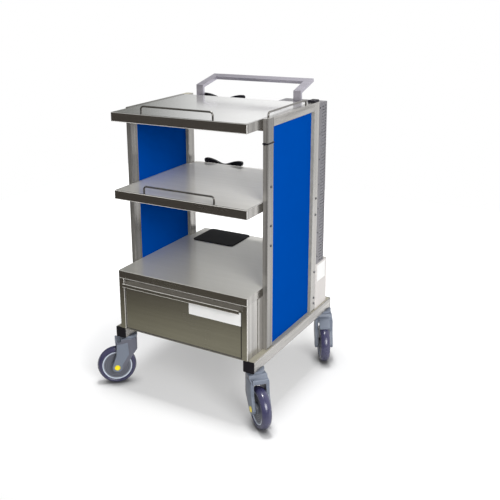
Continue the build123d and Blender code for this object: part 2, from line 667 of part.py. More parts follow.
def fork(name, profile, plan, braked):
    """Moulded caster fork: round crown, hood, two legs to the axle and the swivel stem."""
    axle = (TRAIL, WHEEL_RADIUS)
    with BuildPart() as piece:
        with BuildSketch(profile):
            with BuildLine():
                Polyline((-CROWN_BACK, CROWN_TOP), (-CROWN_BACK, 118.0), (-11.0, 106.0), (1.0, 87.0),
                         (26.0, 54.0), (59.0, 62.0), (44.0, 103.0), (41.0, 145.0), (28.0, 150.0),
                         (25.0, CROWN_TOP), close=True)
            make_face()
            with Locations(axle):
                Circle(LEG_END_RADIUS)
        extrude(amount=FORK_HALF, both=True)
        with BuildSketch(plan):
            Circle(CROWN_RADIUS)
            with Locations((WHEEL_RADIUS / 2, 0)):
                Rectangle(WHEEL_RADIUS, 2 * FORK_HALF)
        extrude(amount=CROWN_TOP, mode=Mode.INTERSECT)
        fillet(piece.faces().sort_by(Axis.Z)[-1].edges(), radius=2.5)
        if not braked:
            trail_span, heights = VISOR
            with BuildSketch(profile):
                with Locations((sum(trail_span) / 2, sum(heights) / 2)):
                    RectangleRounded(trail_span[1] - trail_span[0], heights[1] - heights[0], 3.0)
            extrude(amount=VISOR_HALF, both=True)
        with BuildSketch(profile):
            with Locations(axle):
                Circle(WHEEL_SLOT_RADIUS)
        extrude(amount=WHEEL_SLOT_HALF, both=True, mode=Mode.SUBTRACT)
        with BuildSketch(profile):
            with Locations(axle):
                Circle(AXLE_RADIUS)
        extrude(amount=FORK_HALF, both=True, mode=Mode.SUBTRACT)
        with BuildSketch(plan.offset(CROWN_TOP)):
            Circle(STEM_RADIUS)
        extrude(amount=STEM_LENGTH)
        if braked:
            trail_span, heights = PEDAL_POCKET
            with BuildSketch(profile):
                with Locations((sum(trail_span) / 2, sum(heights) / 2)):
                    Rectangle(trail_span[1] - trail_span[0], heights[1] - heights[0])
            extrude(amount=PEDAL_HALF + PEDAL_GAP, both=True, mode=Mode.SUBTRACT)
            with BuildSketch(profile):
                with Locations(PEDAL_PIVOT):
                    Circle(PEDAL_PIN + RUNNING_FIT)
            extrude(amount=PEDAL_PIN_HALF + PEDAL_GAP, both=True, mode=Mode.SUBTRACT)
    save(piece, f"fork_{name}")


def brake_pedal(name, profile):
    """Sloping pedal plate in front of the hood, with a lip at its toe and a hinge pin."""
    with BuildPart() as pedal:
        with BuildSketch(profile):
            with BuildLine():
                Polyline((35.0, 141.0), (45.0, 138.0), (61.5, 126.5), (62.5, 122.8), (66.5, 122.0),
                         (66.5, 129.0), (47.0, 145.0), (38.0, 148.5), close=True)
            make_face()
            with Locations(PEDAL_PIVOT):
                Circle(4.5)
        extrude(amount=PEDAL_HALF, both=True)
        with BuildSketch(profile):
            with Locations(PEDAL_PIVOT):
                Circle(PEDAL_PIN)
        extrude(amount=PEDAL_PIN_HALF, both=True)
    save(pedal, f"brake_pedal_{name}")


def wheel(name, profile):
    """Axle with its two caps, the disc hub that runs on it, and the tyre."""
    axle = (TRAIL, WHEEL_RADIUS)
    spin = Plane(origin=profile.from_local_coords(Vector(*axle, 0)), x_dir=profile.x_dir, z_dir=profile.z_dir)
    with BuildPart() as axle_pin:
        with BuildSketch(spin):
            Circle(AXLE_RADIUS)
        extrude(amount=FORK_HALF, both=True)
    save(axle_pin, f"axle_{name}")

    with BuildPart() as caps:
        for half in (-1, 1):
            with BuildSketch(spin.offset(half * FORK_HALF)):
                Circle(CAP_RADIUS)
            extrude(amount=half * CAP_THICK, taper=30)
    save(caps, f"axle_caps_{name}")

    section = Plane(origin=spin.origin, x_dir=spin.x_dir, z_dir=spin.y_dir)
    axis = Axis(spin.origin, spin.z_dir)
    bore = AXLE_RADIUS + RUNNING_FIT
    boss, boss_half = HUB_BOSS
    with BuildPart() as hub:
        with BuildSketch(section):
            with BuildLine():
                half_outline = ((bore, boss_half), (boss, boss_half), (boss + 1.5, HUB_HALF - 1.5),
                                (HUB_RADIUS - 4.0, HUB_HALF - 1.5), (HUB_RADIUS - 2.5, HUB_HALF),
                                (HUB_RADIUS, HUB_HALF))
                mirrored = tuple((radius, -across) for radius, across in reversed(half_outline))
                Polyline(*half_outline, *mirrored, close=True)
            make_face()
        revolve(axis=axis)
    save(hub, f"wheel_hub_{name}")

    with BuildPart() as tyre:
        with BuildSketch(section):
            with BuildLine():
                for half in (-1, 1):
                    Polyline((HUB_RADIUS, 0), (HUB_RADIUS, half * HUB_HALF),
                             (HUB_RADIUS + 1.5, half * (TYRE_HALF - 1.0)))
                    ThreePointArc((HUB_RADIUS + 1.5, half * (TYRE_HALF - 1.0)), (53.0, half * TYRE_HALF),
                                  (56.0, half * (TYRE_HALF - 1.0)))
                    ThreePointArc((56.0, half * (TYRE_HALF - 1.0)), (60.0, half * 9.0), (62.0, half * 1.2))
                    Line((62.0, half * 1.2), (WHEEL_RADIUS, half * 0.8))
                Line((WHEEL_RADIUS, -0.8), (WHEEL_RADIUS, 0.8))
            make_face()
        revolve(axis=axis)
    save(tyre, f"tyre_{name}")


# ---- everything ---------------------------------------------------------------------------------
for side_name, sign in sides():
    base_rail(side_name, sign)
    post(f"post_front_{side_name}", sign, FRONT_POST, FRONT_POST_Y)
    post(f"post_rear_{side_name}", sign, REAR_POST, REAR_POST_Y)
    side_panel(side_name, sign)
rail_end_plugs()
cross_tubes()
caster_housings()
top_side_rails()
post_cap()
trays()
guard_rails()
rubber_mat()
cable_cleat("cable_cleat_top", -103.0, HANDLE_Y + TIE_DEPTH / 2, (HANDLE_TIE_Z[0], HANDLE_TIE_Z[1] + 30.0),
            873.0, 79.0)
cable_cleat("cable_cleat_mid", -113.0, MID_BACK_Y, (MID_Z - TRAY_SKIRT, MID_Z - 4.0), MID_Z - 2.0, 73.0)
cabinet_body()
drawer_runners()
drawer_mid_rails()
drawer_slides()
drawer_box()
drawer_front()
label_plate()
push_handle()
column_shell()
column_vent_panel()
service_box()
mains_inlet()
socket_strip()
transformer()
frame_screws()
for caster_name, swivel_side, swivel_y, caster_yaw, is_braked in CASTERS:
    side_view, plan_view = caster_planes(swivel_side, swivel_y, caster_yaw)
    fork(caster_name, side_view, plan_view, is_braked)
    wheel(caster_name, side_view)
    if is_braked:
        brake_pedal(caster_name, side_view)
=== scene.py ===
"""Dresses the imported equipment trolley: its finishes, its small fittings and a plain studio."""
import json
import math

import bmesh
import bpy
from mathutils import Matrix, Vector


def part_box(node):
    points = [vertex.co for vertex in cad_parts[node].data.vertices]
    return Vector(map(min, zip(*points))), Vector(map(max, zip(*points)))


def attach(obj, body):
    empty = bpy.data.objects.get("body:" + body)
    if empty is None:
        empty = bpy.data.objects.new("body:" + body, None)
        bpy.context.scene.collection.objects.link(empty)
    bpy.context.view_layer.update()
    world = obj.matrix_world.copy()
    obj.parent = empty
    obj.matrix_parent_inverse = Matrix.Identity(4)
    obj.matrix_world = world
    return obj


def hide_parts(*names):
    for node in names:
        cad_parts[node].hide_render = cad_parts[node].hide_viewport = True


bl_info = {
    "name": "Equipment trolley",
    "version": (1, 0, 0),
    "blender": (4, 5, 0),
    "location": "3D View > Sidebar > Trolley",
    "description": "Finishes and small fittings of a steel equipment trolley",
    "category": "Object",
}

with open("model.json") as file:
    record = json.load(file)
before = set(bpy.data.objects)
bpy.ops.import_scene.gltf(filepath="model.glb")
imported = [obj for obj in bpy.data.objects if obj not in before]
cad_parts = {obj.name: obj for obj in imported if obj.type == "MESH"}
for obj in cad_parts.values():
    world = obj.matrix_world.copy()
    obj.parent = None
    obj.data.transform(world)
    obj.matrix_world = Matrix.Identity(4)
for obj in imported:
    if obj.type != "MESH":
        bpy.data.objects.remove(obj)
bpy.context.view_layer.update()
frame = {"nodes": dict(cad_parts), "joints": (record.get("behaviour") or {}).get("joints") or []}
NODES = frame["nodes"]
JOINTS = {joint["name"]: joint for joint in frame["joints"]}
CASTERS = ("front_left", "front_right", "rear_left", "rear_right")
BRAKED = ("rear_left", "rear_right")
MM = 0.001

# ---- sizes, in millimetres ----------------------------------------------------------------------
# The rings turned on the wheels and under the housings, as (radius, place along the axis). The turned rings'
# radii are counted from TURNED_RADII. The dark turned rings paint the shade of grooves in the hubs, and the
# dark ring under each housing paints the shade of the gap above its fork.
EDGE_RING = ((43.8, 10.3), (43.8, 11.2), (44.6, 12.2), (46.6, 12.5), (47.6, 12.3), (47.7, 11.7),
             (45.5, 11.4))
TURNED_RADII = (21.0, 26.5, 32.0, 37.5)
TURNED_RING = ((-1.2, 10.3), (-1.1, 10.75), (1.1, 10.75), (1.2, 10.3))
# Painted shade: dark ring in the gap under each housing.
SWIVEL_GAP_RING = ((8.0, 159.05), (21.5, 159.05), (22.5, 159.5), (21.5, 159.9), (8.0, 159.9))

# A fork's leg from the side, as (distance behind the pivot, height), and how its raised face is rounded and
# stands out. FORK_HALF is half the width over a fork's legs, and SUNK keeps a face from floating on it.
LEG_OUTLINE = ((41.0, 141.0), (6.0, 147.0), (3.0, 106.0), (26.5, 70.0), (26.5, 47.0), (57.5, 47.0),
               (57.5, 66.0), (54.0, 74.0), (43.4, 103.0))
LEG_FOOT = slice(4, 6)
LEG_FOOT_ROUND = 14.0
LEG_RIM_ROUND = 0.7
LEG_PROUD = 1.1
FORK_HALF = 28.0
SUNK = 0.1

# The brake pedal's sloping top, and its ribs as half a width and half a length.
PEDAL_EDGE = (47.0, 0.0, 145.0)
PEDAL_RISE, PEDAL_RUN = 16.0, 19.5
GRIP_COUNT, GRIP_FIRST, GRIP_PITCH = 4, 4.0, 5.0
GRIP_HALF = (0.9, 11.0)

# A post's screws: how far behind its front edge, and their heights.
POST_SCREWS = {"front": (22.0, (693.0, 579.0, 520.0)), "rear": (23.0, (583.0, 530.0, 337.0, 248.0, 229.0))}

TIE_GAP, TIE_THICK, TIE_HALF = 0.2, 1.2, 1.8

# The service column's louvre blades, screws and side plate, each with the height of its lowest one.
BLADE_COUNT, BLADE_FIRST, BLADE_PITCH = 51, 368.5, 10.0
BLADE_WIDTH, BLADE_LENGTH, BLADE_DEPTH = 6.5, 34.0, 4.0
BLADE_TILT = math.radians(38)
COLUMN_SCREW_COUNT, COLUMN_SCREW_FIRST, COLUMN_SCREW_PITCH = 7, 385.0, 80.0
COLUMN_SCREW_RADIUS, COLUMN_SCREW_INSET = 2.6, 6.0
PLATE_LOW, PLATE_HIGH, PLATE_THICK = (10.0, 296.0), (75.0, 352.0), 0.7

# The sockets, the rim round each well and the two contact holes in its bottom; the holes are dark dishes
# that paint the shade inside them.
SOCKET_COUNT, SOCKET_MIDDLE, SOCKET_PITCH = 6, 620.0, 52.0
SOCKET_RIM = ((20.1, 0.0), (20.1, 0.5), (20.6, 0.8), (22.2, 0.8), (22.8, 0.4), (22.8, 0.0))
CONTACT_HALF = 9.5
CONTACT_HOLE = ((0.01, 0.25), (2.3, 0.25), (2.9, 0.6), (3.2, 0.0), (0.01, 0.0))

# The trays, and the channels under them at these parts of their depth.
TRAY_DEPTH, TRAY_SHEET, TRAY_WALL = 395.0, 2.0, 2.2
STIFFENER_PARTS = (0.3, 0.7)
STIFFENER_FLANGE_HALF, STIFFENER_HALF, STIFFENER_DEEP = 22.0, 12.0, 14.0

# Rolled edges: X of the two on the stiles, and height of the two on the drawer's lip.
BEAD_RADIUS, LIP_BEAD_RADIUS = 0.9, 0.8
STILE_BEADS = (-207.4, 224.4)
LIP_BEADS = (359.0, 349.0)

# The dark strip on the drawer's right edge, a painted shadow of the gap beside the drawer, and the seams
# round the trays' sheets, painted as dark shade lines.
STRIP_WIDTH, STRIP_TOP = 2.6, 348.0
SEAM_INSET, SEAM_FRONT, SEAM_SIDE, SEAM_REACH = 2.4, 3.0, 1.5, 385.0


# ---- settings -----------------------------------------------------------------------------------
class TrolleyFinishSettings(bpy.types.PropertyGroup):
    """Colours of the trolley's finishes."""

    steel: bpy.props.FloatVectorProperty(
        name="Steel", description="Brushed stainless sheet and tube", subtype="COLOR",
        size=3, default=(0.62, 0.60, 0.57))
    panel_blue: bpy.props.FloatVectorProperty(
        name="Panel blue", description="Enamel of the side panels", subtype="COLOR",
        size=3, default=(0.0, 0.060, 0.35))
    column_grey: bpy.props.FloatVectorProperty(
        name="Column grey", description="Powder coat of the service column", subtype="COLOR",
        size=3, default=(0.175, 0.17, 0.185))
    caster_grey: bpy.props.FloatVectorProperty(
        name="Caster grey", description="Moulded forks and housings", subtype="COLOR",
        size=3, default=(0.165, 0.19, 0.24))
    cap_yellow: bpy.props.FloatVectorProperty(
        name="Cap yellow", description="Axle caps of the front wheels", subtype="COLOR",
        size=3, default=(1.0, 0.78, 0.0))


class TrolleyDetailSettings(bpy.types.PropertyGroup):
    """Sizes of the small fittings."""

    tie_height: bpy.props.FloatProperty(
        name="Tie height", description="Height of the cable tie on the right front post",
        default=0.817, unit="LENGTH")
    screw_radius: bpy.props.FloatProperty(
        name="Screw radius", description="Radius of the posts' screw heads",
        default=0.004, unit="LENGTH")
    blade_thickness: bpy.props.FloatProperty(
        name="Louvre blade", description="Sheet thickness of the column's louvre blades",
        default=0.0008, unit="LENGTH")


class TrolleyCameraSettings(bpy.types.PropertyGroup):
    """Camera of the studio."""

    position: bpy.props.FloatVectorProperty(
        name="Position", description="Camera position", subtype="XYZ", unit="LENGTH", size=3,
        default=(1.1854, -2.0023, 1.2515))
    azimuth: bpy.props.FloatProperty(
        name="Azimuth", description="Turn about the vertical, from looking along +Y",
        default=math.radians(33.41), unit="ROTATION")
    elevation: bpy.props.FloatProperty(
        name="Elevation", description="How far the camera looks down",
        default=math.radians(15.84), unit="ROTATION")
    roll: bpy.props.FloatProperty(
        name="Roll", description="Turn about the line of sight",
        default=math.radians(-1.38), unit="ROTATION")
    lens: bpy.props.FloatProperty(
        name="Lens", description="Focal length in millimetres on a 36 mm sensor", default=55.73)
    shift: bpy.props.FloatVectorProperty(
        name="Shift", description="Shift of the image, in image widths", size=2,
        default=(0.1254, -0.1020))


# ---- materials ----------------------------------------------------------------------------------
class NodeBench:
    """The node tree of a material or world, with short calls to add nodes and links."""

    def __init__(self, owner):
        self.owner = owner
        self.owner.use_nodes = True
        self.tree = owner.node_tree
        self.shader = self.tree.nodes.get("Principled BSDF")

    @staticmethod
    def fill(node, values):
        """Set a node's own attributes, and the constants of the inputs that the other keys name."""
        for key, value in values.items():
            if hasattr(node, key):
                setattr(node, key, value)
            else:
                node.inputs[key.replace("_", " ")].default_value = value

    def add(self, kind, **values):
        """Add a node and fill it in."""
        node = self.tree.nodes.new(kind)
        self.fill(node, values)
        return node

    def set(self, **values):
        """Set the shader's own constant sockets."""
        self.fill(self.shader, values)

    def link(self, source, target):
        """Link an output socket to an input socket."""
        self.tree.links.new(source, target)

    def finish(self, source, socket):
        """Link an output socket to one of the shader's inputs."""
        self.link(source, self.shader.inputs[socket])

    def noise(self, scale, size, detail=3.0, roughness=0.5):
        """Noise on stretched object coordinates, as a factor output."""
        place = self.add("ShaderNodeTexCoord")
        mapping = self.add("ShaderNodeMapping", Scale=scale)
        self.link(place.outputs["Object"], mapping.inputs["Vector"])
        node = self.add("ShaderNodeTexNoise", Scale=size, Detail=detail, Roughness=roughness)
        self.link(mapping.outputs["Vector"], node.inputs["Vector"])
        return node.outputs["Fac"]

    def spread(self, factor, low, high, start=0.25, end=0.75, kind="LINEAR"):
        """Map a factor from start..end to low..high."""
        node = self.add("ShaderNodeMapRange", interpolation_type=kind, From_Min=start, From_Max=end,
                        To_Min=low, To_Max=high)
        self.link(factor, node.inputs["Value"])
        return node.outputs["Result"]

    def maths(self, kind, first, second):
        """Join two values."""
        node = self.add("ShaderNodeMath", operation=kind)
        self.link(first, node.inputs[0])
        self.link(second, node.inputs[1])
        return node.outputs["Value"]

    def tint(self, factor, dark, light):
        """Blend two colours by a factor."""
        node = self.add("ShaderNodeMix", data_type="RGBA", A=(*dark, 1.0), B=(*light, 1.0))
        self.link(factor, node.inputs["Factor"])
        return node.outputs["Result"]

    def multiplied(self, first, second):
        """Multiply two colours."""
        node = self.add("ShaderNodeMix", data_type="RGBA", blend_type="MULTIPLY", Factor=1.0)
        self.link(first, node.inputs["A"])
        self.link(second, node.inputs["B"])
        return node.outputs["Result"]

    def mixed(self, factor, first, second):
        """Blend two shaders by a factor."""
        node = self.add("ShaderNodeMixShader")
        self.link(factor, node.inputs["Fac"])
        self.link(first, node.inputs[1])
        self.link(second, node.inputs[2])
        return node.outputs["Shader"]

    def bump(self, height, strength, distance):
        """Bump the surface by a height factor."""
        node = self.add("ShaderNodeBump", Strength=strength, Distance=distance)
        self.link(height, node.inputs["Height"])
        self.finish(node.outputs["Normal"], "Normal")


def shade(colour, amount):
    """A colour made lighter or darker by a factor."""
    return tuple(min(1.0, part * amount) for part in colour)


EVEN = (1.0, 1.0, 1.0)
GRAIN_SCALE = {"x": (14.0, 1500.0, 1500.0), "y": (1500.0, 14.0, 1500.0), "z": (1500.0, 1500.0, 14.0)}
STREAK_SCALE = {"x": (1.5, 90.0, 90.0), "y": (70.0, 4.0, 70.0), "z": (90.0, 90.0, 0.8)}


def brushed_steel(name, grain, colour, roughness=(0.17, 0.27), streaks=0.06, metallic=1.0):
    """Stainless steel with a directional grain, broad streaks, faint handling marks and a soft sheen."""
    bench = NodeBench(bpy.data.materials.new(name))
    lines = bench.noise(GRAIN_SCALE[grain], 1.0, detail=2.0)
    bands = bench.noise(STREAK_SCALE[grain], 1.0, detail=3.0, roughness=0.6)
    marks = bench.noise(EVEN, 5.0, detail=5.0, roughness=0.6)
    fine = bench.tint(bench.spread(lines, 0.0, 1.0), shade(colour, 0.96), shade(colour, 1.04))
    broad = bench.tint(bench.spread(bands, 0.0, 1.0, 0.35, 0.65), (1.0 - streaks,) * 3, (1.0 + streaks,) * 3)
    bench.finish(bench.multiplied(fine, broad), "Base Color")
    smear = bench.spread(marks, -0.03, 0.05, 0.35, 0.7)
    bench.finish(bench.maths("ADD", bench.spread(lines, *roughness), smear), "Roughness")
    bench.set(Metallic=metallic)
    bench.bump(lines, 0.06, 0.0001)
    return bench.owner


def coated(name, colour, roughness, grain, metallic=0.0, coat=0.0, bump=0.08, size=900.0, gloss=0.5):
    """Paint or moulded plastic: fine texture, slight mottling and rubbed patches."""
    bench = NodeBench(bpy.data.materials.new(name))
    fine = bench.noise(EVEN, size, detail=2.0)
    broad = bench.noise(EVEN, 14.0, detail=4.0, roughness=0.6)
    mottle = bench.spread(broad, 0.0, 1.0)
    bench.finish(bench.tint(mottle, shade(colour, 1.0 - grain), shade(colour, 1.0 + grain)), "Base Color")
    bench.finish(bench.spread(broad, roughness - 0.05, roughness + 0.06), "Roughness")
    bench.set(Metallic=metallic, Coat_Weight=coat, Coat_Roughness=0.12, Specular_IOR_Level=gloss)
    bench.bump(fine, bump, 0.0003)
    return bench.owner


def make_materials(settings):
    """Every finish of the trolley, by name."""
    steel = tuple(settings.steel)
    return {
        "steel_x": brushed_steel("stainless_grain_x", "x", steel),
        # Painted shade: the base rails, side rails and drawer box get a darker copy of the same steel.
        "steel_y": brushed_steel("stainless_grain_y_darkened", "y", shade(steel, 0.60), roughness=(0.2, 0.3),
                                 streaks=0.25, metallic=0.8),
        # Painted shade: a dull, dark copy of the steel for the faces of the base rails and rear posts that
        # look up or forward, in place of their reflection of the blue panels.
        "dull_shade": brushed_steel("dull_shaded_steel", "y", (0.36, 0.34, 0.27), roughness=(0.5, 0.6),
                               streaks=0.12, metallic=0.0),
        # Painted shade: the posts and the cabinet body get a darker copy of the same steel.
        "steel_z": brushed_steel("stainless_grain_z_darkened", "z", shade(steel, 0.62), roughness=(0.16, 0.28),
                                 streaks=0.25, metallic=0.62),
        # Painted light and shade: the three trays are one steel, each given its own tone and metalness; the
        # middle tray is lightened and kept from mirroring, the cabinet top darkened.
        "tray_top": brushed_steel("tray_steel", "x", (0.76, 0.76, 0.75), roughness=(0.12, 0.2),
                                  streaks=0.02, metallic=0.75),
        "tray_mid": brushed_steel("middle_tray_steel", "x", (0.93, 0.91, 0.86), roughness=(0.12, 0.2),
                                  streaks=0.02, metallic=0.15),
        "tray_low": brushed_steel("cabinet_top_steel", "x", (0.58, 0.57, 0.53), roughness=(0.14, 0.22),
                                  streaks=0.02, metallic=0.15),
        # Painted shade: a darker copy of the steel for the front posts' side faces.
        "post_side": brushed_steel("post_side_shaded_steel", "z", shade(steel, 0.42), roughness=(0.16, 0.28),
                                   streaks=0.35, metallic=0.75),
        # Painted shade: a darker copy of the steel for the trays' right side faces.
        "skirt_side": brushed_steel("skirt_side_shaded_steel", "z", shade(steel, 0.55), roughness=(0.16, 0.28),
                                    streaks=0.2),
        # Painted light and shade: a copy of the steel in another tone for the trays' and cabinet's forward
        # faces and the drawer front.
        "front_face_shade": brushed_steel("front_face_shaded_steel", "x", shade(steel, 0.76), roughness=(0.20, 0.25),
                                     streaks=0.04),
        # Painted shade: the guard wires are a darkened copy of the steel, so they look dim.
        "wire": brushed_steel("guard_wire_darkened_steel", "x", (0.22, 0.21, 0.20), roughness=(0.18, 0.28)),
        "handle": brushed_steel("handle_steel", "x", (0.46, 0.44, 0.50), roughness=(0.3, 0.42),
                                metallic=0.75),
        # Painted highlight: the rolled edges are a near-white copy of the steel, so they show as bright
        # lines.
        "bead": brushed_steel("rolled_edge_highlight_steel", "y", (0.95, 0.93, 0.90), roughness=(0.3, 0.4),
                              metallic=0.5),
        "plated": coated("zinc_plate", (0.62, 0.63, 0.64), 0.28, 0.06, metallic=1.0, size=300.0),
        "screw": coated("screw_steel", (0.10, 0.10, 0.11), 0.35, 0.06, metallic=0.8, size=300.0),
        "blue": coated("blue_enamel", tuple(settings.panel_blue), 0.6, 0.02, bump=0.05, size=260.0,
                       gloss=0.0),
        "grey": coated("column_powder_coat", tuple(settings.column_grey), 0.45, 0.05, metallic=0.3,
                       bump=0.15),
        # Painted light: the blades are a lighter coat than the column's, making up for the shade in its
        # slots.
        "blade": coated("louvre_blade_lightened_coat", (0.36, 0.36, 0.39), 0.45, 0.05, bump=0.1),
        "box_grey": coated("service_box_coat", (0.62, 0.59, 0.57), 0.45, 0.05, metallic=0.2, bump=0.15),
        "black": coated("black_plastic", (0.007, 0.006, 0.010), 0.5, 0.2, bump=0.15, gloss=0.2),
        "mat": coated("mat_rubber", (0.006, 0.006, 0.008), 0.75, 0.25, bump=0.5, size=420.0, gloss=0.2),
        "caster": coated("caster_plastic", tuple(settings.caster_grey), 0.42, 0.06, bump=0.12, size=700.0),
        # Painted shade: a darker, glossier copy of the caster grey for the forks' front and side faces.
        "hood": coated("fork_hood_shaded_plastic", (0.115, 0.12, 0.155), 0.34, 0.08, bump=0.12, size=700.0,
                       gloss=0.7),
        "hub": coated("hub_plastic", (0.15, 0.16, 0.19), 0.35, 0.08, bump=0.1, size=700.0),
        # Painted shade: dark rings standing in for the shade in the hubs' turned grooves.
        "hub_groove_shade": coated("turned_ring_shade", (0.045, 0.048, 0.075), 0.5, 0.08),
        "tyre": coated("tyre_tread", (0.036, 0.035, 0.090), 0.24, 0.15, bump=0.2, size=500.0, gloss=0.75),
        "ring": coated("tyre_edge_ring", (0.60, 0.66, 0.76), 0.35, 0.05),
        "yellow": coated("yellow_cap", tuple(settings.cap_yellow), 0.3, 0.04, coat=0.3),
        "label": coated("blank_plate", (0.86, 0.86, 0.85), 0.4, 0.02, bump=0.03),
        "socket": coated("socket_plastic", (0.62, 0.62, 0.60), 0.4, 0.04),
        "dark": coated("shadow_gap", (0.01, 0.01, 0.01), 0.8, 0.1),
        # Painted shade: dark lines standing in for the shadow along the trays' seams.
        "groove": coated("seam_shade_line", (0.045, 0.04, 0.035), 0.5, 0.1),
    }


MATERIALS = {}


def node_finishes():
    """The finish of every node of the frame."""
    finishes = {
        "top_side_rails": "steel_y", "cross_tubes": "steel_x", "post_cap": "black",
        "rail_end_plugs": "black",
        "top_shelf": "tray_top", "mid_shelf": "tray_mid", "cabinet_top": "tray_low",
        "cabinet_body": "steel_z", "drawer_front": "front_face_shade", "drawer_box": "steel_y",
        "drawer_runners": "plated", "drawer_mid_rails": "plated", "drawer_slides": "plated",
        "label_plate": "label", "push_handle": "handle", "frame_screws": "plated",
        "shelf_rail_top_front": "wire", "shelf_rail_mid_front": "wire", "shelf_rail_top_right": "wire",
        "cable_cleat_top": "black", "cable_cleat_mid": "black", "rubber_mat": "mat",
        "column_shell": "grey", "column_vent_panel": "grey", "service_box": "box_grey",
        "socket_strip": "socket", "socket_modules": "socket", "mains_inlet": "black",
        "transformer": "grey", "caster_housings": "caster",
    }
    for side in ("left", "right"):
        finishes[f"base_rail_{side}"] = "steel_y"
        finishes[f"post_front_{side}"] = "steel_z"
        finishes[f"post_rear_{side}"] = "steel_z"
        finishes[f"side_panel_{side}"] = "blue"
    for caster in CASTERS:
        finishes[f"fork_{caster}"] = "caster"
        finishes[f"axle_{caster}"] = "plated"
        finishes[f"axle_caps_{caster}"] = "caster" if caster in BRAKED else "yellow"
        finishes[f"wheel_hub_{caster}"] = "hub"
        finishes[f"tyre_{caster}"] = "tyre"
    for caster in BRAKED:
        finishes[f"brake_pedal_{caster}"] = "caster"
    return finishes


def shade_faces(name, finish, test):
    """Paint light and shade: give the faces of a node that pass a test of their normal a lighter or darker
    copy.
    """
    mesh = NODES[name].data
    mesh.materials.append(MATERIALS[finish])
    slot = len(mesh.materials) - 1
    for face in mesh.polygons:
        if test(face.normal):
            face.material_index = slot


# ---- mesh helpers -------------------------------------------------------------------------------
def add_piece(name, bm, body, finish, smooth=None):
    """Turn a bmesh into a finished piece that rides on a body."""
    bmesh.ops.remove_doubles(bm, verts=bm.verts, dist=1e-6)
    bmesh.ops.recalc_face_normals(bm, faces=bm.faces)
    mesh = bpy.data.meshes.new(name)
    bm.to_mesh(mesh)
    bm.free()
    piece = bpy.data.objects.new(name, mesh)
    bpy.context.scene.collection.objects.link(piece)
    mesh.materials.append(MATERIALS[finish])
    if smooth is not None:
        mesh.shade_smooth()
        mesh.set_sharp_from_angle(angle=math.radians(smooth))
    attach(piece, body)
    return piece


def add_box(bm, low, high, bevel=0.0):
    """Box between two corners in metres, with its edges rounded."""
    size = Vector(high) - Vector(low)
    middle = (Vector(low) + Vector(high)) / 2
    place = Matrix.Translation(middle) @ Matrix.Diagonal((*size, 1.0))
    made = bmesh.ops.create_cube(bm, size=1.0, matrix=place)
    if bevel > 0.0:
        edges = list({edge for vert in made["verts"] for edge in vert.link_edges})
        bmesh.ops.bevel(bm, geom=edges, offset=bevel, offset_type="OFFSET", affect="EDGES",
                        segments=2, profile=0.5, material=-1)


def in_metres(profile, across=0.0, face=1):
    """A profile in millimetres as metres, moved out by across and turned to one face or the other."""
    return [((radius + across) * MM, face * along * MM) for radius, along in profile]


def add_lathe(bm, profile, place, steps=64, closed=True):
    """Spin a profile of (radius, along) points in metres about the local Z of place."""
    verts = [bm.verts.new((radius, 0.0, along)) for radius, along in profile]
    pairs = list(zip(verts, verts[1:]))
    if closed:
        pairs.append((verts[-1], verts[0]))
    edges = [bm.edges.new(pair) for pair in pairs]
    bmesh.ops.spin(bm, geom=verts + edges, cent=(0, 0, 0), axis=(0, 0, 1), angle=math.tau,
                   steps=steps, use_merge=True)
    # The spin returns only its last step, so the new vertices are found along their edges.
    found = set(verts)
    front = list(verts)
    while front:
        for edge in front.pop().link_edges:
            for vert in edge.verts:
                if vert not in found:
                    found.add(vert)
                    front.append(vert)
    bmesh.ops.transform(bm, matrix=place, verts=list(found))


def axis_place(origin, axis):
    """Matrix whose local Z runs along axis from origin."""
    turn = Vector(axis).to_track_quat("Z", "Y").to_matrix().to_4x4()
    return Matrix.Translation(Vector(origin)) @ turn


def add_rod(bm, start, end, radius, steps=12):
    """Round rod between two points, with closed ends."""
    span = Vector(end) - Vector(start)
    place = axis_place(start, span) @ Matrix.Translation((0, 0, span.length / 2))
    bmesh.ops.create_cone(bm, cap_ends=True, segments=steps, radius1=radius, radius2=radius,
                          depth=span.length, matrix=place)


def add_screw_head(bm, origin, axis, radius):
    """Low domed screw head with a hexagon socket."""
    height = radius * 0.55
    profile = [(radius * across, height * up) for across, up in
               ((0.5, 0.0), (1.0, 0.0), (0.96, 0.45), (0.75, 0.85), (0.5, 1.0), (0.42, 1.0), (0.4, 0.35))]
    add_lathe(bm, profile, axis_place(origin, axis), steps=20)
    bottom = axis_place(origin, axis) @ Matrix.Translation((0, 0, height * 0.35))
    bmesh.ops.create_circle(bm, cap_ends=True, radius=radius * 0.5, segments=6, matrix=bottom)


def add_leg_face(bm, place):
    """Raised face of a fork's leg, with a rounded foot and rim, standing out along the local Y of place."""
    part = bmesh.new()
    verts = [part.verts.new((along * MM, 0.0, height * MM)) for along, height in LEG_OUTLINE]
    part.faces.new(verts)
    bmesh.ops.bevel(part, geom=verts[LEG_FOOT], offset=LEG_FOOT_ROUND * MM, offset_type="OFFSET",
                    affect="VERTICES", segments=8, profile=0.5, material=-1)
    made = bmesh.ops.extrude_face_region(part, geom=list(part.faces))["geom"]
    top = [item for item in made if isinstance(item, bmesh.types.BMVert)]
    bmesh.ops.translate(part, verts=top, vec=(0, LEG_PROUD * MM, 0))
    rim = [edge for edge in part.edges if all(vert in top for vert in edge.verts)]
    bmesh.ops.bevel(part, geom=rim, offset=LEG_RIM_ROUND * MM, offset_type="OFFSET", affect="EDGES",
                    segments=3, profile=0.5, material=-1)
    part.transform(place)
    copy = bpy.data.meshes.new("leg_face")
    part.to_mesh(copy)
    part.free()
    bm.from_mesh(copy)
    bpy.data.meshes.remove(copy)


